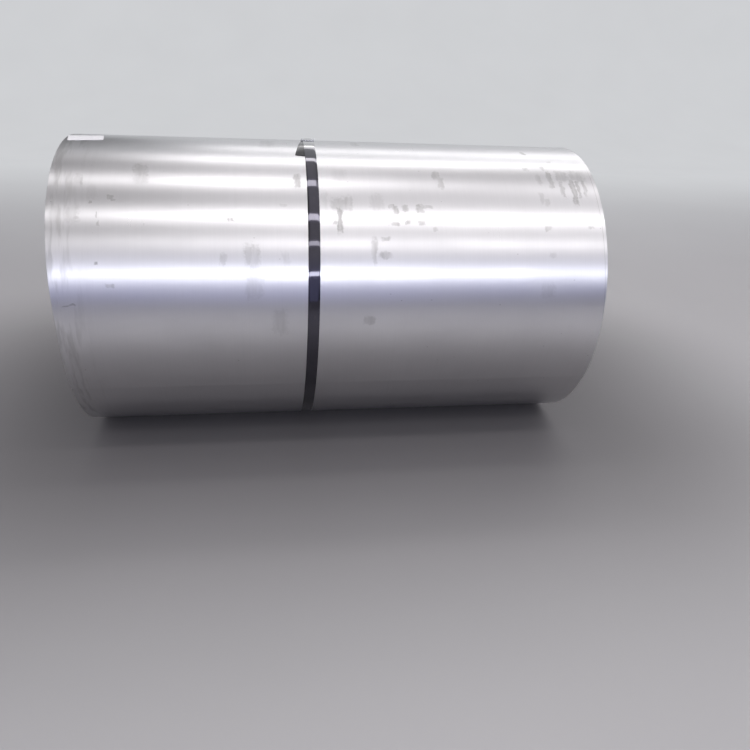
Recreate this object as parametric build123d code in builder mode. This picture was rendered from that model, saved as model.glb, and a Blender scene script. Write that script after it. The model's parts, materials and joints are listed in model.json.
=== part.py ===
from build123d import *

import os
from math import cos, degrees, radians, sin, sqrt, tan

os.makedirs("parts", exist_ok=True)

# A coil of cold-rolled steel strip, lying on its side and tied with one steel strap.
# Millimetres. The coil's axis runs along X, its front faces -Y and it lies on Z = 0.
# Angles are degrees round the coil's axis, from the front (0) over the top (90) to the back (180).

# Wound strip
strip_width = 1500
strip_thickness = 1.5
coil_diameter = 860
bore_diameter = 508
tail_angle = -27
turn_bedding = 0.3

# How far each group of turns has crept along the axis, from the bore outwards
group_creep = (0, 2.5, 1, -2, -0.5, 3, -1.5, 2, -3, -0.5, 2, -2, 0.5, 1.5)

# The outermost turn has walked towards the left end over the upper front
walk = 10.5
walk_angle = 47
walk_span = 92

# Strap, leaning a little, with its inner end lying askew under its outer end at the top
strap_width = 32
strap_thickness = 0.9
strap_position = -77.5
strap_lean = 1.4
strap_clearance = 0.3
strap_bridge_angle = 9
strap_rise_start = 57
strap_rise_angle = 9
outer_end_angle = 98
inner_end_length = 152
inner_end_skew = 10.5
inner_end_back_angle = 118
inner_end_ramp_start = 103
inner_end_ramp_angle = 8
lap_clearance = 0.2

# Seal, a folded steel clip round both ends of the strap
seal_length = 57
seal_thickness = 1
seal_fold = 0.3
seal_slot = 14
seal_angle = 90.4
seal_clearance = 0.2
notch_pitch = 28
notch_width = 8
notch_depth = 7.5

# Blank paper label, stuck on a little askew near the left end
label_width = 94
label_length = 58
label_thickness = 0.3
label_edge_distance = 1.5
label_angle = 83.5
label_skew = 8
label_clearance = 0.2

# Heights over the coil's surface, and places that follow from the sizes above
strap_seat = strap_clearance + strap_thickness / 2
flange_top = strap_clearance + seal_thickness
inner_end_height = flange_top + seal_clearance + strap_thickness / 2
outer_end_height = inner_end_height + strap_thickness + lap_clearance
cavity_top = outer_end_height + strap_thickness / 2 + seal_clearance
seal_top = cavity_top + seal_thickness
coil_radius = coil_diameter / 2
bore_radius = bore_diameter / 2
bed_radius = coil_radius - strip_thickness - turn_bedding
right_end = strip_width / 2
left_end = -strip_width / 2
quarter_ends = [tail_angle + 90 * quarter for quarter in range(5)]

# The seal is as wide inside as the two strap ends that cross in it
seal_skew = inner_end_skew / 2
lap_width = strap_width / cos(radians(seal_skew)) + seal_length * tan(radians(seal_skew))
cavity_width = lap_width + 2 * seal_clearance
seal_width = cavity_width + 2 * seal_thickness


def ray(angle):
    """Unit vector from the axis at this angle, in the section plane."""
    return Vector(cos(radians(angle)), sin(radians(angle)))


def quarter_of(angle):
    """Centre and radius of the outermost turn's arc at this angle.

    The turn is four quarter arcs from the strip's tail. Each centre moves on by a quarter of the
    strip's thickness along the ray where its arc starts, so the arcs meet in line.
    """
    centre = Vector(0, 0)
    radius = coil_radius
    for quarter in range(int((angle - tail_angle) // 90)):
        centre += ray(tail_angle + 90 * (quarter + 1)) * (strip_thickness / 4)
        radius -= strip_thickness / 4
    return centre, radius


bottom_centre, bottom_radius = quarter_of(270)
axis_height = bottom_radius - bottom_centre.Y + strap_clearance + strap_thickness
coil_axis = Axis((0, 0, axis_height), (1, 0, 0))


def section_plane(x):
    """Plane across the coil, with its own x to the front, its y up and its normal to the left end."""
    return Plane(origin=(x, 0, axis_height), x_dir=(0, -1, 0), z_dir=(-1, 0, 0))


def arc_over_turn(height, start, end):
    """Arc this high over the outermost turn, between two angles within one of its quarters."""
    centre, radius = quarter_of((start + end) / 2)
    return CenterArc(centre, radius + height, start, end - start)


def ramp_over_turn(height, start, next_height, end):
    """Smooth rise between two heights, in line with the turn at both angles."""
    centre, radius = quarter_of(start)
    next_centre, next_radius = quarter_of(end)
    return Spline(
        centre + ray(start) * (radius + height),
        next_centre + ray(end) * (next_radius + next_height),
        tangents=(ray(start + 90), ray(end + 90)),
    )


def walk_plane(x):
    """Tilted plane that the outermost turn's edge follows where it has walked from this end."""
    swing = walk / (1 - cos(radians(walk_span / 2)))
    slope = swing / coil_radius
    lean = ray(walk_angle) * slope
    start = x + swing * cos(radians(walk_span / 2))
    return Plane(origin=(start, 0, axis_height), z_dir=(1, -lean.X, lean.Y))


def plan_point(angle):
    """Distance in front of or behind the axis of the surface at this angle, seen from above."""
    return -coil_radius * cos(radians(angle))


def layer_over_turn(plan, width, length, angle, bottom, top, fold=0):
    """Curved layer between two heights over the outermost turn, with a rectangle's outline in plan.

    Its long edges are cut back by the fold, where the sheet round it is folded.
    """
    reach = width + length
    half_angle = degrees(reach / 2 / coil_radius)
    across = Axis(plan.origin, plan.x_dir)
    with BuildPart() as layer:
        with BuildSketch(section_plane(plan.origin.X + reach)):
            with BuildLine():
                arc_over_turn((bottom + top) / 2, angle - half_angle, angle + half_angle)
            trace(line_width=top - bottom)
        extrude(amount=2 * reach)
        with BuildSketch(plan):
            Rectangle(width, length)
        extrude(amount=reach, both=True, mode=Mode.INTERSECT)
        if fold:
            for side in (0, -1):
                wall = layer.faces().sort_by(across)[side]
                chamfer(wall.edges().sort_by(SortBy.LENGTH)[-2:], fold)
    return layer.part


# Outermost turn of the strip: a step where its tail ends, and its right edge walked inwards
with BuildPart() as outer_turn:
    with BuildSketch(section_plane(right_end)) as turn_section:
        with BuildLine() as turn_outline:
            for quarter in range(4):
                arc_over_turn(0, quarter_ends[quarter], quarter_ends[quarter + 1])
            Line(
                ray(tail_angle) * (coil_radius - strip_thickness),
                ray(tail_angle) * coil_radius,
            )
        make_face()
        Circle(bed_radius, mode=Mode.SUBTRACT)
    extrude(amount=strip_width)
    split(bisect_by=walk_plane(right_end), keep=Keep.BOTTOM)

# Edge of the outermost turn that stands past the left end
with BuildPart() as walked_edge:
    with BuildSketch(section_plane(left_end)) as edge_section:
        add(turn_section.sketch_local)
    extrude(amount=walk)
    split(bisect_by=walk_plane(left_end), keep=Keep.TOP)

# The coil: groups of turns as wide as the strip, each crept a little way along the axis
with BuildPart() as coil:
    group_height = (bed_radius - bore_radius) / len(group_creep)
    with BuildSketch(Plane.XZ) as half_section:
        for group, creep in enumerate(group_creep):
            height = axis_height + bore_radius + (group + 0.5) * group_height
            with Locations((creep, height)):
                Rectangle(strip_width, group_height)
    revolve(axis=coil_axis)
    add(outer_turn.part)
    add(walked_edge.part)
coil.part.label = "coil"

# Plan of the strap, seen along its lean from above the coil, with its own y to the back
strap_plan = Plane(
    origin=(strap_position, 0, axis_height + coil_radius),
    x_dir=(cos(radians(strap_lean)), 0, -sin(radians(strap_lean))),
    z_dir=(sin(radians(strap_lean)), 0, cos(radians(strap_lean))),
)

# Plan of the seal, which lies between the directions of the strap's two ends
seal_place = Location((0, plan_point(seal_angle), 0), (0, 0, -seal_skew))
seal_plan = Plane(strap_plan.location * seal_place)

# Notches that lock the joint, cut through the seal and both ends of the strap
with BuildPart() as notches:
    with BuildSketch(seal_plan):
        with GridLocations(seal_width, notch_pitch, 2, 2):
            Rectangle(2 * notch_depth, notch_width)
    extrude(amount=seal_length, both=True)

# Inner end of the strap: it rises over the seal's flanges, and its tip lies askew
with BuildPart() as strap_inner_end:
    ramp_end = inner_end_ramp_start + inner_end_ramp_angle
    with BuildSketch(section_plane(strap_position + 2 * strap_width)) as inner_end_section:
        with BuildLine():
            arc_over_turn(inner_end_height, quarter_ends[1], inner_end_ramp_start)
            ramp_over_turn(inner_end_height, inner_end_ramp_start, strap_seat, ramp_end)
            arc_over_turn(strap_seat, ramp_end, inner_end_back_angle)
        trace(line_width=strap_thickness)
    extrude(amount=4 * strap_width)
    with BuildSketch(strap_plan) as inner_end_plan:
        with BuildLine():
            skew = Vector(sin(radians(inner_end_skew)), cos(radians(inner_end_skew)))
            pivot = Vector(0, plan_point(seal_angle))
            bend_end = Vector(0, plan_point(inner_end_back_angle) - strap_width / 2)
            Line(pivot - skew * inner_end_length, pivot)
            Spline(pivot, bend_end, tangents=(skew, (0, 1)))
            Line(bend_end, bend_end + Vector(0, 2 * strap_width))
        trace(line_width=strap_width)
    extrude(amount=coil_radius, both=True, mode=Mode.INTERSECT)

# Strap: from its inner end down the back, under the coil, up the front and over its inner end
with BuildPart() as strap:
    rise_end = strap_rise_start + strap_rise_angle
    bridge_start = quarter_ends[4] - strap_bridge_angle
    with BuildSketch(section_plane(strap_position + 2 * strap_width)) as strap_section:
        with BuildLine():
            arc_over_turn(strap_seat, inner_end_back_angle, quarter_ends[2])
            arc_over_turn(strap_seat, quarter_ends[2], quarter_ends[3])
            arc_over_turn(strap_seat, quarter_ends[3], bridge_start)
            ramp_over_turn(strap_seat, bridge_start, strap_seat, quarter_ends[0])
            arc_over_turn(strap_seat, quarter_ends[0], strap_rise_start)
            ramp_over_turn(strap_seat, strap_rise_start, outer_end_height, rise_end)
            arc_over_turn(outer_end_height, rise_end, outer_end_angle)
        trace(line_width=strap_thickness)
    extrude(amount=4 * strap_width)
    with BuildSketch(strap_plan) as loop_plan:
        Rectangle(strap_width, 2 * coil_diameter)
    extrude(amount=2 * coil_diameter, both=True, mode=Mode.INTERSECT)
    add(strap_inner_end.part)
    add(notches.part, mode=Mode.SUBTRACT)
strap.part.label = "strap"

# Seal: sheet steel folded round both ends of the strap, with a slot between its flanges below
cut_length = seal_length + 4 * seal_thickness
outer_fold = seal_fold + (2 - sqrt(2)) * seal_thickness
slot_top = flange_top + seal_clearance
blank = layer_over_turn(seal_plan, seal_width, seal_length, seal_angle, strap_clearance, seal_top, outer_fold)
cavity = layer_over_turn(seal_plan, cavity_width, cut_length, seal_angle, flange_top, cavity_top, seal_fold)
slot = layer_over_turn(seal_plan, seal_slot, cut_length, seal_angle, 0, slot_top)
with BuildPart() as strap_seal:
    add(blank)
    add(cavity, mode=Mode.SUBTRACT)
    add(slot, mode=Mode.SUBTRACT)
    add(notches.part, mode=Mode.SUBTRACT)
strap_seal.part.label = "strap_seal"

# Paper label, stuck on the outermost turn
label_middle = left_end + label_edge_distance + label_width / 2
label_top = label_clearance + label_thickness
label_place = (label_middle, plan_point(label_angle), axis_height + coil_radius)
label_plan = Plane(label_place).rotated((0, 0, label_skew))
with BuildPart() as paper_label:
    add(layer_over_turn(label_plan, label_width, label_length, label_angle, label_clearance, label_top))
paper_label.part.label = "paper_label"

for piece in (coil, strap, strap_seal, paper_label):
    export_step(piece.part, f"parts/{piece.part.label}.step")
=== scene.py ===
import json
import math
import random

import bpy
from mathutils import Matrix, Vector


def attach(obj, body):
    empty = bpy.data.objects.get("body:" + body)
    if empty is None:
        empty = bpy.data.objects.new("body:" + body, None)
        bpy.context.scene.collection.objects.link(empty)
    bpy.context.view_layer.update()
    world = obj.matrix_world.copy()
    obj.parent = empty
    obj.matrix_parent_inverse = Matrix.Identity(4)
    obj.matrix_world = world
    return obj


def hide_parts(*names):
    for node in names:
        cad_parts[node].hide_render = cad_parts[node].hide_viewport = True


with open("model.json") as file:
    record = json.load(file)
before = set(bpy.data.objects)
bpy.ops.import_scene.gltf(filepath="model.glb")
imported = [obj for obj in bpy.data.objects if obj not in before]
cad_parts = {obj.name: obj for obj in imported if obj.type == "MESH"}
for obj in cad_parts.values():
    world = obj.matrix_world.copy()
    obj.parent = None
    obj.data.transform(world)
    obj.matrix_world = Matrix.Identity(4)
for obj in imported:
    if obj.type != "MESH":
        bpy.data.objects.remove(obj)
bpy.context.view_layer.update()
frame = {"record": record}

# Camera
# It stands before the coil's left half, a little over a metre up, turned a little to the right, and looks
# down on the coil so that the front and the top show, and neither end.
camera_data = bpy.data.cameras.new("camera")
camera_data.sensor_width = 36
camera_data.lens = 32.9
camera_data.shift_y = 0.02
camera_place = Matrix.Translation((-0.2163, -2.1923, 1.0734))
camera_turn = Matrix.Rotation(math.radians(-9.845), 4, "Z")
camera_tilt = Matrix.Rotation(math.radians(90 - 25.297), 4, "X")
camera_roll = Matrix.Rotation(math.radians(2.648), 4, "Z")
camera = bpy.data.objects.new("camera", camera_data)
camera.matrix_world = camera_place @ camera_turn @ camera_tilt @ camera_roll
bpy.context.scene.collection.objects.link(camera)
bpy.context.scene.camera = camera

# Floor and backdrop
# One sweep of painted board: it lies flat under the coil and in front of it, and curves up into a wall
# far behind. The paint is a pale cool grey, palest on the wall, which glows as if lit from its own side
# but for its upper left; round the coil it is darker, a painted shadow of the coil. It has the faint
# mottling of a roller.
floor_front = -40.0
floor_back = 7.0
sweep_radius = 4.0
wall_top = 16.0
floor_side = 40.0
sweep_steps = 16
painted_shadow_grey = (0.163, 0.157, 0.16)
paint_open = (0.456, 0.45, 0.453)
paint_wall = (0.62, 0.63, 0.65)


def add_mesh(name, points, faces, sharp_angle=None):
    """Object with this mesh, its faces smooth but for edges sharper than the angle in degrees."""
    mesh = bpy.data.meshes.new(name)
    mesh.from_pydata(points, [], faces)
    mesh.validate()
    for polygon in mesh.polygons:
        polygon.use_smooth = True
    if sharp_angle:
        mesh.set_sharp_from_angle(angle=math.radians(sharp_angle))
    piece = bpy.data.objects.new(name, mesh)
    bpy.context.scene.collection.objects.link(piece)
    return piece


def new_material(name):
    """Material with its nodes, its links and its main shader, ready to be wired."""
    material = bpy.data.materials.new(name)
    material.use_nodes = True
    tree = material.node_tree
    return material, tree, tree.nodes["Principled BSDF"]


def add_range(tree, source, low, high, to_low, to_high, smooth=False):
    """The source mapped from one range to another."""
    node = tree.nodes.new("ShaderNodeMapRange")
    if smooth:
        node.interpolation_type = "SMOOTHSTEP"
    node.inputs["From Min"].default_value = low
    node.inputs["From Max"].default_value = high
    node.inputs["To Min"].default_value = to_low
    node.inputs["To Max"].default_value = to_high
    tree.links.new(source, node.inputs["Value"])
    return node.outputs["Result"]


def add_math(tree, operation, first, second):
    """One operation on two sources, each a socket or a number."""
    node = tree.nodes.new("ShaderNodeMath")
    node.operation = operation
    for index, source in enumerate((first, second)):
        if isinstance(source, (int, float)):
            node.inputs[index].default_value = source
        else:
            tree.links.new(source, node.inputs[index])
    return node.outputs["Value"]


def add_vector(tree, operation, first, second=None):
    """One vector operation on a source and, where it needs one, another socket or tuple."""
    node = tree.nodes.new("ShaderNodeVectorMath")
    node.operation = operation
    tree.links.new(first, node.inputs[0])
    if isinstance(second, tuple):
        node.inputs[1].default_value = second
    elif second is not None:
        tree.links.new(second, node.inputs[1])
    return node.outputs["Value" if operation == "LENGTH" else "Vector"]


def add_mix(tree, factor, first, second):
    """Colour between two colours, each a socket or a tuple, by a mask."""
    node = tree.nodes.new("ShaderNodeMix")
    node.data_type = "RGBA"
    tree.links.new(factor, node.inputs["Factor"])
    for name, source in (("A", first), ("B", second)):
        if isinstance(source, tuple):
            node.inputs[name].default_value = source + (1,)
        else:
            tree.links.new(source, node.inputs[name])
    return node.outputs["Result"]


def add_noise(tree, place, scale, detail):
    """Noise of this scale and detail over a place, or over the piece's own box where none is given."""
    node = tree.nodes.new("ShaderNodeTexNoise")
    node.inputs["Scale"].default_value = scale
    node.inputs["Detail"].default_value = detail
    if place is not None:
        tree.links.new(place, node.inputs["Vector"])
    return node


profile = [(floor_front, 0.0), (-6.0, 0.0), (-2.0, 0.0), (2.0, 0.0), (floor_back, 0.0)]
for step in range(1, sweep_steps + 1):
    angle = math.radians(90 * step / sweep_steps)
    profile.append((floor_back + sweep_radius * math.sin(angle), sweep_radius * (1 - math.cos(angle))))
profile.append((floor_back + sweep_radius, wall_top))
points = [(x, y, z) for y, z in profile for x in (-floor_side, floor_side)]
faces = [(2 * i, 2 * i + 1, 2 * i + 3, 2 * i + 2) for i in range(len(profile) - 1)]
floor = add_mesh("floor", points, faces)
material, tree, shader = new_material("floor_paint")
nodes, links = tree.nodes, tree.links
shader.inputs["Roughness"].default_value = 0.55
place = nodes.new("ShaderNodeTexCoord").outputs["Object"]
mottle = add_noise(tree, place, 1.3, 4)
parts = nodes.new("ShaderNodeSeparateXYZ")
links.new(place, parts.inputs["Vector"])
beyond = add_vector(tree, "SUBTRACT", add_vector(tree, "ABSOLUTE", place), (0.7, 0.25, 0))
distance = add_vector(tree, "LENGTH", add_vector(tree, "MAXIMUM", beyond, (0, 0, 0)))
# Painted shadow: the floor's colour darkens toward the coil's footprint, as if the coil shaded it.
clear = add_range(tree, distance, 0.1, 1.3, 0, 1, smooth=True)
rise = add_range(tree, parts.outputs["Y"], 0.6, 6.0, 0, 1, smooth=True)
paint = add_mix(tree, rise, add_mix(tree, clear, painted_shadow_grey, paint_open), paint_wall)
tint = nodes.new("ShaderNodeVectorMath")
tint.operation = "SCALE"
links.new(paint, tint.inputs[0])
links.new(add_range(tree, mottle.outputs["Fac"], 0, 1, 0.97, 1.03), tint.inputs["Scale"])
links.new(tint.outputs["Vector"], shader.inputs["Base Color"])
glow = nodes.new("ShaderNodeEmission")
links.new(tint.outputs["Vector"], glow.inputs["Color"])
shade = add_range(tree, parts.outputs["X"], -1.4, -3.3, 0, 0.78, smooth=True)
shade = add_math(tree, "MULTIPLY", shade, add_range(tree, parts.outputs["Z"], 3.0, 4.5, 0, 1))
shade = add_math(tree, "MULTIPLY", shade, add_range(tree, parts.outputs["Z"], 7.0, 12.0, 1, 0.4))
links.new(add_math(tree, "SUBTRACT", 1, shade), glow.inputs["Strength"])
rays = nodes.new("ShaderNodeLightPath")
seen = rays.outputs["Is Camera Ray"]
for kind in ("Is Glossy Ray", "Is Transmission Ray"):
    seen = add_math(tree, "MAXIMUM", seen, rays.outputs[kind])
blend = nodes.new("ShaderNodeMixShader")
links.new(add_math(tree, "MULTIPLY", seen, rise), blend.inputs["Fac"])
links.new(shader.outputs["BSDF"], blend.inputs[1])
links.new(glow.outputs["Emission"], blend.inputs[2])
links.new(blend.outputs["Shader"], nodes["Material Output"].inputs["Surface"])
floor.data.materials.append(material)

# Studio light
# An even room, dimmer high at the left, behind at the right and low at both sides, and seven long soft
# strips over and before the coil, along its axis. Each has its angle, width, the two joints of its three
# tubes, their strengths and its colour. The steel shows each as a bright band, the lowest cool as daylight.
axis_height = frame["record"]["mounts"][0]["pos_m"][2]
strip_distance = 4.0
strip_end = 4.5
strips = (
    (137.5, 0.45, (-0.6, 1.5), (0.0, 1.7, 2.4), (1.0, 0.98, 0.98)),
    (119.5, 0.34, (-1.0, 1.0), (0.6, 3.7, 4.2), (1.0, 0.98, 0.98)),
    (94.1, 0.41, (-1.0, 0.4), (2.2, 4.2, 1.2), (1.0, 0.98, 0.98)),
    (91.9, 0.16, (1.2, 2.3), (0.0, 0.0, 3.0), (1.0, 0.98, 0.98)),
    (63.8, 0.36, (-1.0, 1.0), (2.3, 5.2, 4.2), (1.0, 0.98, 0.985)),
    (43.3, 0.24, (-1.0, 1.0), (1.2, 3.5, 3.1), (1.0, 0.98, 0.99)),
    (20.6, 0.22, (-1.0, 1.0), (4.8, 8.1, 5.3), (0.93, 0.95, 1.0)),
)
room_level = 0.7
room_level_overhead = 0.805
room_colour = (1.0, 0.975, 1.0)
daylight_colour = (0.72, 0.74, 1.1)
world = bpy.data.worlds.new("studio")
world.use_nodes = True
tree = world.node_tree
nodes, links = tree.nodes, tree.links
toward = nodes.new("ShaderNodeTexCoord")
parts = nodes.new("ShaderNodeSeparateXYZ")
links.new(toward.outputs["Generated"], parts.inputs["Vector"])
front = add_math(tree, "MULTIPLY", parts.outputs["Y"], -1)
turned = add_math(tree, "ARCTAN2", parts.outputs["Z"], front)
leftward = add_range(tree, parts.outputs["X"], -0.03, -0.22, 0, 1)
leftward = add_math(tree, "MULTIPLY", leftward, add_range(tree, parts.outputs["X"], -0.35, -0.8, 1, 0))
rightward = add_range(tree, parts.outputs["X"], 0, 0.35, 0, 1)
sideways = add_math(tree, "MAXIMUM", leftward, rightward)
dimming = 0
dim_parts = ((leftward, 35, 60, 0.87), (rightward, 90, 120, 0.75), (sideways, 15, 0, 0.8))
for side, start, end, depth in dim_parts:
    dimmed = add_range(tree, turned, math.radians(start), math.radians(end), 0, depth)
    dimming = add_math(tree, "MAXIMUM", dimming, add_math(tree, "MULTIPLY", side, dimmed))
level = add_range(tree, turned, math.radians(60), math.radians(80), room_level, room_level_overhead)
level = add_math(tree, "MULTIPLY", add_math(tree, "SUBTRACT", 1, dimming), level)
links.new(level, nodes["Background"].inputs["Strength"])
daylight = add_range(tree, turned, math.radians(42), math.radians(10), 0, 1, smooth=True)
links.new(add_mix(tree, daylight, room_colour, daylight_colour), nodes["Background"].inputs["Color"])
plain = nodes.new("ShaderNodeBackground")
plain.inputs["Color"].default_value = paint_wall + (1,)
blend = nodes.new("ShaderNodeMixShader")
links.new(nodes.new("ShaderNodeLightPath").outputs["Is Camera Ray"], blend.inputs["Fac"])
links.new(nodes["Background"].outputs["Background"], blend.inputs[1])
links.new(plain.outputs["Background"], blend.inputs[2])
links.new(blend.outputs["Shader"], nodes["World Output"].inputs["Surface"])
bpy.context.scene.world = world
for angle, width, joints, strengths, colour in strips:
    ends = (-strip_end, *joints, strip_end)
    for left, right, strength in zip(ends, ends[1:], strengths):
        if not strength:
            continue
        lamp_data = bpy.data.lights.new("strip_lamp", "AREA")
        lamp_data.shape = "RECTANGLE"
        lamp_data.size = right - left
        lamp_data.size_y = width
        lamp_data.color = colour
        lamp_data.energy = strength * math.pi * (right - left) * width
        lamp = bpy.data.objects.new("strip_lamp", lamp_data)
        lamp.visible_camera = False
        turned = math.radians(angle)
        across, up = -math.cos(turned), math.sin(turned)
        lamp.location = ((left + right) / 2, strip_distance * across, axis_height + strip_distance * up)
        lamp.rotation_euler = Vector((0, -across, -up)).to_track_quat("-Z", "Y").to_euler()
        bpy.context.scene.collection.objects.link(lamp)
bpy.context.scene.view_settings.view_transform = "Standard"

# Wound coil
# Cold-rolled steel strip, 1500 mm wide and 1.5 mm thick, wound tight into a coil of 117 turns with a bore.
# The strip's tail shows as a step on the front, each turn's trimmed edge shows on the ends, and the
# outermost turn has walked to the left over the upper front, so that the turn under it shows at the right.
strip_thickness = 0.0015
coil_radius = 0.43
bore_radius = 0.254
half_width = 0.75
tail_angle = -27.0
group_creep = (0, 2.5, 1, -2, -0.5, 3, -1.5, 2, -3, -0.5, 2, -2, 0.5, 1.5)
walk = 0.0105
walk_angle = 47.0
walk_half_span = 46.0
steps_per_turn = 120
seam_gap = 0.0003
seam_depth = 0.0009
edge_round = 0.0004
oil_and_shade_line = 0.0025
columns = 25
tail_spring = 0.0009
tail_spring_span = 9.0
tail_held_at = -0.0775
tail_held_span = 0.1
group_creep_unit = 0.0009
turn_creep_unit = 0.001
creep_limit = 0.003
steel_grey = (0.665, 0.66, 0.675)
steel_bright = (0.715, 0.71, 0.725)
steel_line = (0.56, 0.56, 0.57)
dirt_grey = (0.22, 0.215, 0.21)
edge_dark = (0.36, 0.36, 0.365)
edge_bright = (0.58, 0.58, 0.585)
edge_stain = (0.30, 0.285, 0.27)


def turn_radius(angle):
    """Radius of the outermost turn's surface at this angle: four quarter arcs from the tail, as wound."""
    from_tail = (angle - tail_angle) % 360
    quarter = int(from_tail // 90)
    radius = coil_radius - quarter * strip_thickness / 4
    for passed in range(1, quarter + 1):
        radius += strip_thickness / 4 * math.cos(math.radians(from_tail - 90 * passed))
    return radius


def point_at(x, angle, radius):
    """Point at this place along the axis, angle round it from the front, and distance from it."""
    turned = math.radians(angle)
    return (x, -radius * math.cos(turned), axis_height + radius * math.sin(turned))


def edge_walk(angle):
    """How far the outermost turn's edges stand to the left at this angle."""
    limit = math.cos(math.radians(walk_half_span))
    swing = walk / (1 - limit)
    return max(0.0, swing * (math.cos(math.radians(angle - walk_angle)) - limit))


turns = (coil_radius - bore_radius) / strip_thickness - 1
last = round(turns * steps_per_turn)
draw = random.Random(12)
jitter = [[draw.uniform(-0.35, 0.35), draw.uniform(0, 360)] for turn in range(int(turns) + 3)]


def outer_radius(step):
    """Radius of the strip's outer face at this step from its tail."""
    angle = tail_angle + 360 * (step % steps_per_turn) / steps_per_turn
    return turn_radius(angle) - strip_thickness * (step // steps_per_turn)


def spring(x, step):
    """How far the strip's tail stands off the turn under it, away from the strap."""
    share = 1 - 360 * step / steps_per_turn / tail_spring_span
    freedom = 1 - math.exp(-((x - tail_held_at) / tail_held_span) ** 2)
    return tail_spring * max(0.0, share) ** 2 * freedom


def creep_at(step):
    """How far the strip's middle lies from the coil's middle at this step, along the axis."""
    turn = step / steps_per_turn
    angle = tail_angle + 360 * turn
    if turn < 1:
        return -edge_walk(angle)
    level = (outer_radius(step) - bore_radius) / (coil_radius - bore_radius) * len(group_creep)
    low = max(0, min(len(group_creep) - 1, int(level)))
    near = jitter[int(turn)]
    following = jitter[int(turn) + 1]
    blend = turn % 1
    own = near[0] * (1 - blend) + following[0] * blend
    sway = 0.2 * math.sin(math.radians(angle + near[1] * (1 - blend) + following[1] * blend))
    return min(creep_limit, group_creep_unit * group_creep[low] + turn_creep_unit * (own + sway))


# Both ends: a ring of trimmed edge for every turn, with a fine groove between it and the turn under it. At
# the right, where the outermost turn has walked off, the turn under it shows its rim and a dark line
# in the ends' material, partly oil and partly painted shade of the step.
points = []
faces = []
edge_faces = []
rims = {}
for side in (-1, 1):
    creep = [creep_at(step) for step in range(last + steps_per_turn + 1)]
    outer_edge, inner_edge, seam, shoulder, line_end = {}, {}, {}, {}, {}
    for step in range(last + 1):
        angle = tail_angle + 360 * (step % steps_per_turn) / steps_per_turn
        x = side * half_width + creep[step]
        radius = outer_radius(step) + spring(x, step)
        outer_edge[step] = len(points)
        points.append(point_at(x, angle, radius - edge_round))
        inner_edge[step] = len(points)
        points.append(point_at(x, angle, radius - strip_thickness + seam_gap / 2))
        if side > 0 and steps_per_turn < step < 2 * steps_per_turn:
            shoulder[step] = len(points)
            points.append(point_at(x - edge_round, angle, radius))
    for step in range(last + steps_per_turn + 1):
        angle = tail_angle + 360 * (step % steps_per_turn) / steps_per_turn
        beside = [creep[min(step, last)]]
        if step >= steps_per_turn:
            beside.append(creep[step - steps_per_turn])
        depth = edge_round
        if steps_per_turn <= step <= last:
            depth = seam_depth
        x = side * half_width + side * min(side * place for place in beside) - side * depth
        seam[step] = len(points)
        points.append(point_at(x, angle, outer_radius(step) + spring(x, step)))
        if step in shoulder:
            line_end[step] = len(points)
            x = min(x + oil_and_shade_line, points[shoulder[step]][0] - 0.0001)
            points.append(point_at(x, angle, outer_radius(step)))
    for step in range(last):
        following = step + 1
        below = step + steps_per_turn
        ring = [
            (outer_edge[step], outer_edge[following], inner_edge[following], inner_edge[step]),
            (inner_edge[step], inner_edge[following], seam[below + 1], seam[below]),
        ]
        if side > 0 and steps_per_turn <= step < 2 * steps_per_turn:
            near, next_near = (line_end.get(here, outer_edge[here]) for here in (step, following))
            rim, next_rim = (shoulder.get(here, outer_edge[here]) for here in (step, following))
            # This band takes the ends' darker material: partly oil, partly painted shade of the step.
            ring.append((seam[step], seam[following], next_near, near))
            ring.append((rim, next_rim, outer_edge[following], outer_edge[step]))
            faces.append(tuple(dict.fromkeys((near, next_near, next_rim, rim))))
        else:
            ring.append((seam[step], seam[following], outer_edge[following], outer_edge[step]))
        for face in ring:
            face = tuple(dict.fromkeys(face))
            edge_faces.append(len(faces))
            faces.append(face if side > 0 else face[::-1])
    for step in (0, last):
        cap = (seam[step], outer_edge[step], inner_edge[step], seam[step + steps_per_turn])
        faces.append(cap if (side > 0) == (step == 0) else cap[::-1])
    rims[side] = seam


def add_barrel(first, outward):
    """Surface between the two ends for one turn from this step, and the strip's cut end across it."""
    rows = {}
    for step in range(first, first + steps_per_turn + 1):
        left, right = rims[-1][step], rims[1][step]
        angle = tail_angle + 360 * (step % steps_per_turn) / steps_per_turn
        row = [left]
        for column in range(1, columns):
            x = points[left][0] + (points[right][0] - points[left][0]) * column / columns
            row.append(len(points))
            points.append(point_at(x, angle, outer_radius(step) + spring(x, step)))
        row.append(right)
        rows[step] = row
    pairs = [(step, step + 1) for step in range(first, first + steps_per_turn)]
    for step, following in pairs + [(first + steps_per_turn, first)]:
        for column in range(columns):
            face = (
                rows[step][column],
                rows[step][column + 1],
                rows[following][column + 1],
                rows[following][column],
            )
            faces.append(face if outward else face[::-1])


add_barrel(0, True)
add_barrel(last, False)
coil = add_mesh("wound_strip", points, faces, sharp_angle=35)

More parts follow.
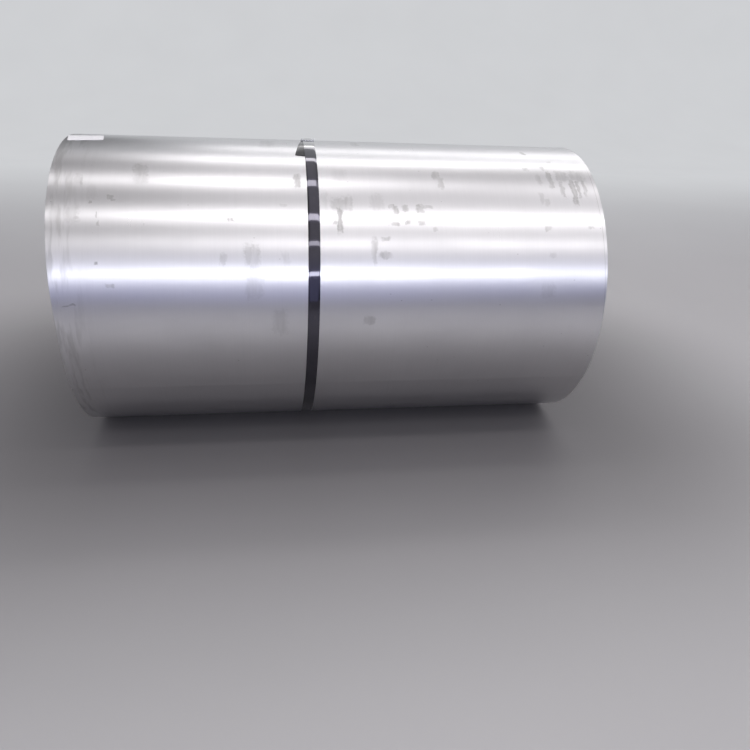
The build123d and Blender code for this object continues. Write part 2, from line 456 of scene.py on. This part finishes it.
# The strip's finish: fine marks of the rolls round the coil, a light film of oil, hand smudges and scuffs
tree = bpy.data.node_groups.new("surface_place", "ShaderNodeTree")
tree.interface.new_socket("Axis Height", in_out="INPUT", socket_type="NodeSocketFloat")
tree.interface.new_socket("Place", in_out="OUTPUT", socket_type="NodeSocketVector")
nodes, links = tree.nodes, tree.links
given = nodes.new("NodeGroupInput")
result = nodes.new("NodeGroupOutput")
parts = nodes.new("ShaderNodeSeparateXYZ")
links.new(nodes.new("ShaderNodeTexCoord").outputs["Object"], parts.inputs["Vector"])
height = add_math(tree, "SUBTRACT", parts.outputs["Z"], given.outputs["Axis Height"])
turned = add_math(tree, "ARCTAN2", height, add_math(tree, "MULTIPLY", parts.outputs["Y"], -1))
joined = nodes.new("ShaderNodeCombineXYZ")
links.new(add_math(tree, "MULTIPLY", parts.outputs["X"], 1000), joined.inputs["X"])
links.new(add_math(tree, "MULTIPLY", turned, math.degrees(1)), joined.inputs["Y"])
links.new(joined.outputs["Vector"], result.inputs["Place"])
surface_place = tree

tree = bpy.data.node_groups.new("streaks", "ShaderNodeTree")
tree.interface.new_socket("Across", in_out="INPUT", socket_type="NodeSocketFloat")
tree.interface.new_socket("Around", in_out="INPUT", socket_type="NodeSocketFloat")
tree.interface.new_socket("Detail", in_out="INPUT", socket_type="NodeSocketFloat")
tree.interface.new_socket("Level", in_out="OUTPUT", socket_type="NodeSocketFloat")
nodes, links = tree.nodes, tree.links
given = nodes.new("NodeGroupInput")
result = nodes.new("NodeGroupOutput")
scale = nodes.new("ShaderNodeCombineXYZ")
for direction, way in (("X", "Across"), ("Y", "Around"), ("Z", "Around")):
    links.new(given.outputs[way], scale.inputs[direction])
place = nodes.new("ShaderNodeTexCoord").outputs["Object"]
noise = add_noise(tree, add_vector(tree, "MULTIPLY", place, scale.outputs["Vector"]), 1, 2)
links.new(given.outputs["Detail"], noise.inputs["Detail"])
links.new(noise.outputs["Fac"], result.inputs["Level"])
streaks = tree


def add_place(tree):
    """The surface's place: millimetres along the coil's axis and degrees round it from the front."""
    node = tree.nodes.new("ShaderNodeGroup")
    node.node_tree = surface_place
    node.inputs["Axis Height"].default_value = axis_height
    parts = tree.nodes.new("ShaderNodeSeparateXYZ")
    tree.links.new(node.outputs["Place"], parts.inputs["Vector"])
    return node.outputs["Place"], parts.outputs["X"], parts.outputs["Y"]


def add_streaks(tree, across, around, detail):
    """Noise of so many marks to the metre across the strip and around the coil."""
    node = tree.nodes.new("ShaderNodeGroup")
    node.node_tree = streaks
    node.inputs["Across"].default_value = across
    node.inputs["Around"].default_value = around
    node.inputs["Detail"].default_value = detail
    return node.outputs["Level"]


def add_bump(tree, shader, height, strength, distance):
    """Fine relief of the shader's surface, this deep in metres."""
    bump = tree.nodes.new("ShaderNodeBump")
    bump.inputs["Strength"].default_value = strength
    bump.inputs["Distance"].default_value = distance
    tree.links.new(height, bump.inputs["Height"])
    tree.links.new(bump.outputs["Normal"], shader.inputs["Normal"])


# Smudges and scuffs on the outermost turn: place along the axis in mm, angle, half sizes and strength
smudges = (
    (-738, 39, 12, 4.0, 0.3), (-713, 7.8, 20, 0.3, 1.0), (-694, 39.5, 17, 3.2, 0.35),
    (-684, 38, 8, 0.7, 0.5), (-679, 53, 4, 2.5, 0.5), (-690, 54, 9, 2.0, 0.3), (-653, 44, 4, 0.6, 0.7),
    (-650, 48, 14, 3.0, 0.2), (-640, 22, 5, 0.7, 1.0), (-635, 39, 2, 1.3, 0.6), (-630, 35.6, 4, 1.1, 0.6),
    (-607, 14.6, 12, 0.6, 0.7), (-604, 46.1, 9, 0.8, 0.7), (-596, 45, 6, 0.5, 0.7),
    (-534, 59, 18, 3.4, 0.5), (-531, 54.5, 17, 2.6, 0.3), (-321, 23.5, 9, 2.0, 0.5),
    (-300, 37.6, 9, 0.9, 1.0), (-247, 24.6, 21, 4.2, 0.5), (-243, 15, 22, 5.6, 0.35),
    (-200, 82, 22, 5.0, 0.3), (-178, 1, 20, 4.5, 0.3), (-162, 43.5, 11, 0.6, 0.3),
    (-159, 23.6, 11, 2.5, 0.25), (-122, 54.7, 10, 3.2, 0.8), (-52, 46, 8, 4.3, 0.2),
    (-26, 36.7, 8, 0.9, 0.7), (-10, 38, 8, 5.0, 1.0), (-6, 58.6, 21, 3.1, 0.2), (-5, 44.5, 29, 3.0, 0.5),
    (12, 45.5, 12, 2.6, 0.6), (59, 85, 12, 3.0, 0.5), (68, 1.4, 14, 1.8, 0.5), (78, 26.5, 7, 5.0, 0.6),
    (93, 45.6, 19, 3.5, 0.28), (110, 25.4, 19, 1.5, 0.75), (111, 31, 16, 0.9, 0.6),
    (130, 43.6, 7, 0.8, 0.7), (142, 42.2, 10, 1.5, 0.8), (138, 36.7, 14, 0.9, 0.8),
    (174, 43, 9, 1.6, 0.75), (176, 37.3, 7, 1.1, 0.9), (213, 42.7, 13, 1.8, 0.85),
    (238, 43.6, 12, 0.7, 0.6), (213, 37.4, 11, 1.3, 0.8), (250, 35, 7, 0.9, 0.5), (271, 59, 9, 2.6, 0.55),
    (281, 55, 9, 3.0, 0.55), (548, 64.2, 9, 1.2, 0.55), (571, 77.6, 7, 1.7, 0.9),
    (571, 48.3, 7, 2.6, 0.3), (578, 58, 9, 3.2, 0.35), (579, 35.3, 9, 1.2, 0.55), (575, 12, 20, 2.6, 0.3),
    (585, 46.2, 9, 1.8, 0.3), (588, 25.3, 10, 1.1, 0.3), (602, 64.7, 6, 1.4, 0.5),
    (613, 58.5, 7, 5.0, 0.7), (634, 70, 6, 0.8, 0.4), (641, 53, 7, 4.2, 0.8), (653, 60.2, 20, 3.2, 0.45),
    (676, 52, 9, 6.0, 0.75), (692, 53.5, 5, 4.5, 0.7), (698, 60.4, 25, 3.2, 0.4), (711, 54, 5, 4.5, 0.6),
    (709, 36, 9, 0.5, 0.5),
)

material, tree, shader = new_material("coil_face")
nodes, links = tree.nodes, tree.links
grain = add_streaks(tree, 1400, 5, 2)
line = add_streaks(tree, 260, 2.2, 3)
cloud = add_streaks(tree, 5, 7, 3)
whole = nodes.new("ShaderNodeTexCoord").outputs["Object"]
place, along, around = add_place(tree)
wobble = add_range(tree, add_noise(tree, whole, 120, 5).outputs["Fac"], 0.3, 0.7, -0.45, 0.45)
smear = add_vector(tree, "SUBTRACT", add_noise(tree, whole, 34, 2).outputs["Color"], (0.5, 0.5, 0.5))
smeared = add_vector(tree, "ADD", add_vector(tree, "MULTIPLY", smear, (22, 2.8, 0)), place)
smudge = 0
for x, angle, half_length, half_angle, strength in smudges:
    offset = add_vector(tree, "SUBTRACT", smeared, (x, angle, 0))
    shaped = add_vector(tree, "MULTIPLY", offset, (1 / half_length, 1 / half_angle, 0))
    reach = add_vector(tree, "LENGTH", add_vector(tree, "MULTIPLY", shaped, shaped))
    ragged_reach = add_math(tree, "ADD", reach, wobble)
    spot = add_range(tree, ragged_reach, 0.3, 1.5, 0.65 * strength, 0, smooth=True)
    smudge = add_math(tree, "MAXIMUM", smudge, spot)
streaky = add_streaks(tree, 90, 16, 4)
smudge = add_math(tree, "MULTIPLY", smudge, add_range(tree, streaky, 0.3, 0.6, 0.45, 1.0))

near_end = add_range(tree, along, -640, -750, 0, 1, smooth=True)
handled = add_streaks(tree, 60, 9, 4)
stain = add_math(tree, "MULTIPLY", near_end, add_range(tree, handled, 0.45, 0.65, 0, 0.35, smooth=True))
dirt = add_math(tree, "MAXIMUM", smudge, stain)

speck = nodes.new("ShaderNodeTexVoronoi")
speck.inputs["Scale"].default_value = 26
speck.inputs["Randomness"].default_value = 1
fleck = add_range(tree, speck.outputs["Distance"], 0.02, 0.05, 0.5, 0, smooth=True)
dirt = add_math(tree, "MAXIMUM", dirt, fleck)

steel = add_mix(tree, add_range(tree, cloud, 0.3, 0.7, 0, 1), steel_grey, steel_bright)
steel = add_mix(tree, add_range(tree, line, 0.35, 0.75, 0, 0.12), steel, steel_line)
links.new(add_mix(tree, dirt, steel, dirt_grey), shader.inputs["Base Color"])
shader.inputs["Metallic"].default_value = 1
shader.inputs["Anisotropic"].default_value = 0.5
shader.inputs["Anisotropic Rotation"].default_value = 0.25
rough = add_range(tree, grain, 0.3, 0.7, 0.29, 0.34)
rough = add_math(tree, "ADD", rough, add_range(tree, cloud, 0.3, 0.7, 0.02, -0.02))
rough = add_math(tree, "ADD", rough, add_math(tree, "MULTIPLY", dirt, 0.12))
links.new(rough, shader.inputs["Roughness"])
tangent = nodes.new("ShaderNodeTangent")
tangent.direction_type = "RADIAL"
tangent.axis = "X"
links.new(tangent.outputs["Tangent"], shader.inputs["Tangent"])
relief = add_math(tree, "ADD", add_streaks(tree, 3.0, 5.0, 1), add_math(tree, "MULTIPLY", line, 0.02))
add_bump(tree, shader, relief, 1, 0.0003)
coil.data.materials.append(material)

material, tree, shader = new_material("coil_edge")
nodes, links = tree.nodes, tree.links
place = nodes.new("ShaderNodeTexCoord").outputs["Object"]
centred = add_vector(tree, "SUBTRACT", place, (0, 0, axis_height))
reach = add_vector(tree, "LENGTH", add_vector(tree, "MULTIPLY", centred, (0, 1, 1)))
by_turn = add_noise(tree, None, 0.9, 3)
by_turn.noise_dimensions = "1D"
links.new(add_math(tree, "DIVIDE", reach, strip_thickness), by_turn.inputs["W"])
patchy = add_noise(tree, place, 9, 5).outputs["Fac"]
torn = add_noise(tree, place, 420, 3).outputs["Fac"]
edge = add_mix(tree, add_range(tree, by_turn.outputs["Fac"], 0.3, 0.7, 0, 1), edge_dark, edge_bright)
edge = add_mix(tree, add_range(tree, patchy, 0.5, 0.75, 0, 0.45), edge, edge_stain)
links.new(edge, shader.inputs["Base Color"])
shader.inputs["Metallic"].default_value = 1
links.new(add_range(tree, torn, 0.3, 0.7, 0.36, 0.55), shader.inputs["Roughness"])
add_bump(tree, shader, torn, 0.4, 0.0002)
coil.data.materials.append(material)
for index in edge_faces:
    coil.data.polygons[index].material_index = 1
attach(coil, "root")
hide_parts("coil")

# Strap
# One band of blued steel strapping, 32 mm wide and 0.9 mm thick, pulled tight round the coil. Its inner
# end comes over the top from the back and lies askew, and its outer end passes over it through the seal.
strap_width = 0.032
strap_thickness = 0.0009
strap_position = -0.0775
strap_lean = 1.4
strap_seat = 0.00027 + strap_thickness / 2
inner_height = 0.00195
outer_height = 0.00305
end_bow = 0.0015
pivot_angle = 90.4
inner_skew = 10.5
inner_length = 0.152
bend_end_angle = 115.6
outer_end_angle = 458.0
strap_step = 1.5
tail_rise_span = 9.0
edge_radius = 0.00032
strap_blues = ((0.020, 0.0175, 0.035), (0.029, 0.0255, 0.046))
tip_blues = ((0.035, 0.034, 0.036), (0.075, 0.074, 0.077))
rubbed_steel = (0.24, 0.23, 0.235)
highlight_grey = (0.56, 0.55, 0.555)
lean_slope = math.tan(math.radians(strap_lean))


def from_above(angle):
    """Distance behind the axis of the surface at this angle, seen from above."""
    return -coil_radius * math.cos(math.radians(angle))


def over_turn(side, back, height, angle=None):
    """Point this high over the outermost turn, from its place in the strap's leaning plan."""
    if angle is None:
        angle = math.degrees(math.acos(-back / coil_radius))
    radius = turn_radius(angle) + height
    drop = coil_radius - radius * math.sin(math.radians(angle))
    x = strap_position + side / math.cos(math.radians(strap_lean)) - drop * lean_slope
    return point_at(x, angle, radius)


def ease(value, low, high):
    """Smooth step from 0 to 1 between two values."""
    share = min(1.0, max(0.0, (value - low) / (high - low)))
    return share * share * (3 - 2 * share)


def strap_height(angle):
    """Height of the strap's middle over the outermost turn, along its unwrapped angle."""
    height = strap_seat
    lifted = ease(angle, 75, 81) - ease(angle, 103, 111) + ease(angle, 435, 441)
    height += (inner_height - strap_seat) * lifted
    height += (outer_height - inner_height) * ease(angle, 421, 430)
    for turn in (0, 360):
        height += end_bow * (ease(angle, turn + 70, turn + 78.5) - ease(angle, turn + 78.5, turn + 86.6))
    tail_step = turn_radius(tail_angle) - turn_radius(tail_angle - 0.01)
    rise_end = tail_angle + 360
    rise_start = rise_end - tail_rise_span
    if rise_start < angle < rise_end:
        height += tail_step * ease(angle, rise_start, rise_end)
    return height


def section_outline(half_width, half_height, radius):
    """Outline of a flat bar with rounded corners, with spare points along its faces."""
    outline = []
    for sign_side, sign_up, start in ((1, -1, -90), (1, 1, 0), (-1, 1, 90), (-1, -1, 180)):
        for step in range(3):
            turned = math.radians(start + 45 * step)
            outline.append((
                sign_side * (half_width - radius) + radius * math.cos(turned),
                sign_up * (half_height - radius) + radius * math.sin(turned),
            ))
        if start in (0, 180):
            for share in (0.5, 0, -0.5):
                outline.append((sign_side * share * half_width, sign_up * half_height))
    return outline


outline = section_outline(strap_width / 2, strap_thickness / 2, edge_radius)
pivot_back = from_above(pivot_angle)
bend_back = from_above(bend_end_angle)
skew_slope = math.tan(math.radians(inner_skew))
tip_back = pivot_back - inner_length * math.cos(math.radians(inner_skew))
stations = []
inner_steps = 24
for step in range(inner_steps + 1):
    back = tip_back + (pivot_back - tip_back) * step / inner_steps
    stations.append((skew_slope * (back - pivot_back), back, inner_skew, None))
bend_steps = 30
for step in range(1, bend_steps + 1):
    share = step / bend_steps
    span = bend_back - pivot_back
    side = span * skew_slope * (share - 2 * share ** 2 + share ** 3)
    slope = skew_slope * (1 - 4 * share + 3 * share ** 2)
    stations.append((side, pivot_back + span * share, math.degrees(math.atan(slope)), None))
angle = bend_end_angle
while angle < outer_end_angle - strap_step / 2:
    angle += strap_step
    stations.append((0, None, 0, min(angle, outer_end_angle)))
rows = []
points = []
for side, back, skew, angle in stations:
    row = []
    turned = math.radians(skew)
    for across, up in outline:
        if angle is None:
            here = back - across * math.sin(turned)
            plan_angle = math.degrees(math.acos(-here / coil_radius))
            place = over_turn(side + across * math.cos(turned), here, strap_height(plan_angle) + up)
        else:
            place = over_turn(across, None, strap_height(angle) + up, angle)
        row.append(len(points))
        points.append(place)
    rows.append(row)


def join_rows(rows):
    """Faces of a bar through these rows of points, with both its ends closed."""
    faces = []
    for row, following in zip(rows, rows[1:]):
        for index in range(len(row)):
            beside = (index + 1) % len(row)
            faces.append((row[index], following[index], following[beside], row[beside]))
    return faces + [tuple(rows[0]), tuple(reversed(rows[-1]))]


faces = join_rows(rows)
strap = add_mesh("strap_band", points, faces, sharp_angle=50)

# Blued strapping: a thin dark oxide under a film of wax, with brighter steel at the slit edges and faint
# scuffs. Its inner end's tip has lost its wax, so it is duller and greyer, and both ends are painted
# lighter in a band just below the seal as a painted highlight.
for name, blues, worn_share, highlight_share, low, coat in (
    ("blued_strap", strap_blues, 0.2, 0.8, 0.07, 1.0),
    ("worn_tip", tip_blues, 0.45, 0.3, 0.13, 0.0),
):
    material, tree, shader = new_material(name)
    nodes, links = tree.nodes, tree.links
    rolled = add_streaks(tree, 700, 14, 3)
    patch = add_streaks(tree, 120, 60, 4)
    rub = add_streaks(tree, 420, 45, 5)
    blued = add_mix(tree, add_range(tree, patch, 0.3, 0.7, 0, 1), *blues)
    worn = add_range(tree, rub, 0.62, 0.74, 0, worn_share, smooth=True)
    worn_steel = add_mix(tree, worn, blued, rubbed_steel)
    around = add_place(tree)[2]
    # Painted highlight: lighter steel in a band just below the seal, on both ends of the strap.
    painted_highlight = add_range(tree, around, 76.5, 78, 0, highlight_share, smooth=True)
    painted_highlight = add_math(tree, "MULTIPLY", painted_highlight, add_range(tree, around, 92, 90, 0, 1))
    links.new(add_mix(tree, painted_highlight, worn_steel, highlight_grey), shader.inputs["Base Color"])
    shader.inputs["Metallic"].default_value = 1
    shader.inputs["Coat Weight"].default_value = coat
    shader.inputs["Coat Roughness"].default_value = 0.05
    shader.inputs["Coat IOR"].default_value = 1.68
    links.new(add_range(tree, rolled, 0.3, 0.7, low, 1.5 * low), shader.inputs["Roughness"])
    add_bump(tree, shader, rolled, 0.1, 0.0001)
    strap.data.materials.append(material)
for index in range(inner_steps * len(outline)):
    strap.data.polygons[index].material_index = 1
strap.data.polygons[len(faces) - 2].material_index = 1
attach(strap, "root")
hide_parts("strap")

# Seal
# A clip of the same blued steel, 57 mm long, bent round both ends of the strap so that its two flanges
# meet below with a slot between them. A hand tool has cut two notches into each side to lock the joint.
seal_length = 0.057
seal_sheet = 0.001
seal_skew = inner_skew / 2
lap_width = strap_width / math.cos(math.radians(seal_skew))
lap_width += seal_length * math.tan(math.radians(seal_skew))
side_play = 0.0002
seal_width = lap_width + 2 * side_play + 2 * seal_sheet
seal_bottom = 0.0003
seal_top = 0.00468
seal_slot = 0.014
fold_radius = 0.0013
notch_pitch = 0.028
notch_width = 0.008
notch_depth = 0.0075
cutter_margin = 0.002
cutter_bottom = -0.004
cutter_top = 0.012
seal_bulge = 0.0012
mouth_start = 0.0225
mouth_lift = 0.0006
seal_grey = (0.48, 0.48, 0.50)
seal_bright = (0.60, 0.60, 0.61)
seal_worn_and_shaded = (0.42, 0.41, 0.40)


def seal_point(across, along, height):
    """Point of the seal from its own width, its own length and its height over the outermost turn."""
    turned = math.radians(seal_skew)
    side = across * math.cos(turned) + along * math.sin(turned)
    back = pivot_back - across * math.sin(turned) + along * math.cos(turned)
    return over_turn(side, back, height)


def folded_outline(inset):
    """Half of the seal's folded outline, from its slot round the fold to its middle line."""
    half = seal_width / 2 - inset
    low = seal_bottom + inset
    high = seal_top - inset
    radius = fold_radius - inset * 0.8
    outline = [(seal_slot / 2, low), (seal_slot / 2 + 0.4 * (half - seal_slot / 2), low)]
    for centre_height, start in ((low + radius, -90), (high - radius, 0)):
        for step in range(5):
            turned = math.radians(start + 22.5 * step)
            side = half - radius + radius * math.cos(turned)
            outline.append((side, centre_height + radius * math.sin(turned)))
    for share in (0.75, 0.5, 0.25):
        outline.append((share * (half - radius), high))
    return outline


outer = folded_outline(0)
inner = folded_outline(seal_sheet)
outline = outer + [(0, seal_top)] + [(-side, height) for side, height in reversed(outer)]
outline += [(-side, height) for side, height in inner] + [(0, seal_top - seal_sheet)] + inner[::-1]
rows = []
points = []
seal_steps = 24
for step in range(seal_steps + 1):
    along = seal_length * (step / seal_steps - 0.5)
    row = []
    for across, height in outline:
        middle = 1 - min(1.0, (2 * across / seal_width) ** 2)
        bulge = seal_bulge * middle * (2 * along / seal_length) ** 3
        mouth = ease(abs(along), mouth_start, seal_length / 2)
        lift = mouth_lift * mouth * middle if height > seal_top - 1.5 * seal_sheet else 0
        row.append(len(points))
        points.append(seal_point(across, along + bulge, height + lift))
    rows.append(row)
seal = add_mesh("folded_seal", points, join_rows(rows))

cutter_points = []
cutter_faces = []
for across_sign in (-1, 1):
    for along_sign in (-1, 1):
        first = len(cutter_points)
        for height in (cutter_bottom, cutter_top):
            for across, along in ((-1, -1), (1, -1), (1, 1), (-1, 1)):
                cutter_points.append(seal_point(
                    across_sign * (seal_width / 2 + cutter_margin) + across * (notch_depth + cutter_margin),
                    along_sign * notch_pitch / 2 + along * notch_width / 2,
                    height,
                ))
        cutter_faces.append((first + 3, first + 2, first + 1, first))
        cutter_faces.append((first + 4, first + 5, first + 6, first + 7))
        for side in range(4):
            beside = (side + 1) % 4
            cutter_faces.append((first + side, first + beside, first + 4 + beside, first + 4 + side))
cutter = add_mesh("notch_cutter", cutter_points, cutter_faces)


def cut_notches(piece, bevel):
    """Cuts the joint's notches out of a piece, and breaks its sharp edges where it is asked."""
    cut = piece.modifiers.new("cut", "BOOLEAN")
    cut.object = cutter
    cut.operation = "DIFFERENCE"
    cut.solver = "EXACT"
    if bevel:
        edge = piece.modifiers.new("edge", "BEVEL")
        edge.width = bevel
        edge.segments = 2
        edge.angle_limit = math.radians(50)
    bpy.context.view_layer.update()
    shaped = bpy.data.meshes.new_from_object(piece.evaluated_get(bpy.context.evaluated_depsgraph_get()))
    piece.modifiers.clear()
    piece.data = shaped
    for polygon in shaped.polygons:
        polygon.use_smooth = True
    shaped.set_sharp_from_angle(angle=math.radians(40))


cut_notches(seal, 0.00015)
cut_notches(strap, 0)
bpy.data.objects.remove(cutter)

# The seal's bluing is duller than the strap's, worn darker in scuffs, and darkened along its folds and
# notches as painted shade
material, tree, shader = new_material("blued_seal")
nodes, links = tree.nodes, tree.links
patch = add_streaks(tree, 150, 150, 4)
rub = add_streaks(tree, 600, 300, 4)
shape = nodes.new("ShaderNodeNewGeometry")
# Painted shade: the folds and notch edges are darkened; the scuffs below share the same darker colour.
rim = add_range(tree, shape.outputs["Pointiness"], 0.52, 0.60, 0, 0.8, smooth=True)
worn = add_math(tree, "MAXIMUM", rim, add_range(tree, rub, 0.6, 0.75, 0, 0.4, smooth=True))
blued = add_mix(tree, add_range(tree, patch, 0.3, 0.7, 0, 1), seal_grey, seal_bright)
links.new(add_mix(tree, worn, blued, seal_worn_and_shaded), shader.inputs["Base Color"])
shader.inputs["Metallic"].default_value = 1
links.new(add_range(tree, patch, 0.3, 0.7, 0.14, 0.24), shader.inputs["Roughness"])
add_bump(tree, shader, rub, 0.3, 0.0002)
seal.data.materials.append(material)
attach(seal, "root")
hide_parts("strap_seal")

# Label
# A blank coated-paper label, 94 by 58 mm, stuck by hand on the outermost turn close to its left edge,
# a little askew. Its corners have begun to lift, and small bubbles show under it.
label_width = 0.094
label_length = 0.058
label_thickness = 0.0003
label_inset = 0.0015
label_angle = 83.5
label_middle = (label_inset - half_width + label_width / 2, from_above(label_angle))
label_skew = 8.0
label_seat = 0.0002
corner_lift = 0.0003
bubble_height = 0.00008
label_columns = 32
label_rows = 20
paper_grey = (0.85, 0.845, 0.855)
paper_white = (0.89, 0.885, 0.895)
paper_soil = (0.68, 0.66, 0.64)
turned = math.radians(label_skew)
points = []
for level in (0, 1):
    for row in range(label_rows + 1):
        for column in range(label_columns + 1):
            across = label_width * (column / label_columns - 0.5)
            along = label_length * (row / label_rows - 0.5)
            x = label_middle[0] + across * math.cos(turned) - along * math.sin(turned)
            back = label_middle[1] + across * math.sin(turned) + along * math.cos(turned)
            angle = math.degrees(math.acos(-back / coil_radius))
            corner = (abs(2 * across / label_width) * abs(2 * along / label_length)) ** 6
            lift = corner_lift * corner + bubble_height * math.sin(170 * across + 3) * math.sin(260 * along)
            radius = turn_radius(angle) + label_seat + max(0, lift) + level * label_thickness
            points.append(point_at(x, angle, radius))
faces = []
wide = label_columns + 1
upper = wide * (label_rows + 1)
for row in range(label_rows):
    for column in range(label_columns):
        here = row * wide + column
        faces.append((upper + here, upper + here + 1, upper + here + wide + 1, upper + here + wide))
        faces.append((here + wide, here + wide + 1, here + 1, here))
rim = list(range(wide))
rim += [row * wide + label_columns for row in range(1, label_rows + 1)]
rim += [label_rows * wide + column for column in range(label_columns - 1, -1, -1)]
rim += [row * wide for row in range(label_rows - 1, 0, -1)]
for index, here in enumerate(rim):
    beside = rim[(index + 1) % len(rim)]
    faces.append((here, beside, upper + beside, upper + here))
label = add_mesh("blank_label", points, faces, sharp_angle=50)
material, tree, shader = new_material("label_paper")
nodes, links = tree.nodes, tree.links
fibre = add_noise(tree, None, 900, 5).outputs["Fac"]
soiled = add_range(tree, add_noise(tree, None, 38, 5).outputs["Fac"], 0.6, 0.85, 0, 0.3, smooth=True)
paper = add_mix(tree, add_range(tree, fibre, 0.3, 0.7, 0, 1), paper_grey, paper_white)
links.new(add_mix(tree, soiled, paper, paper_soil), shader.inputs["Base Color"])
shader.inputs["Roughness"].default_value = 0.5
add_bump(tree, shader, fibre, 0.3, 0.0001)
label.data.materials.append(material)
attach(label, "root")
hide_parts("paper_label")
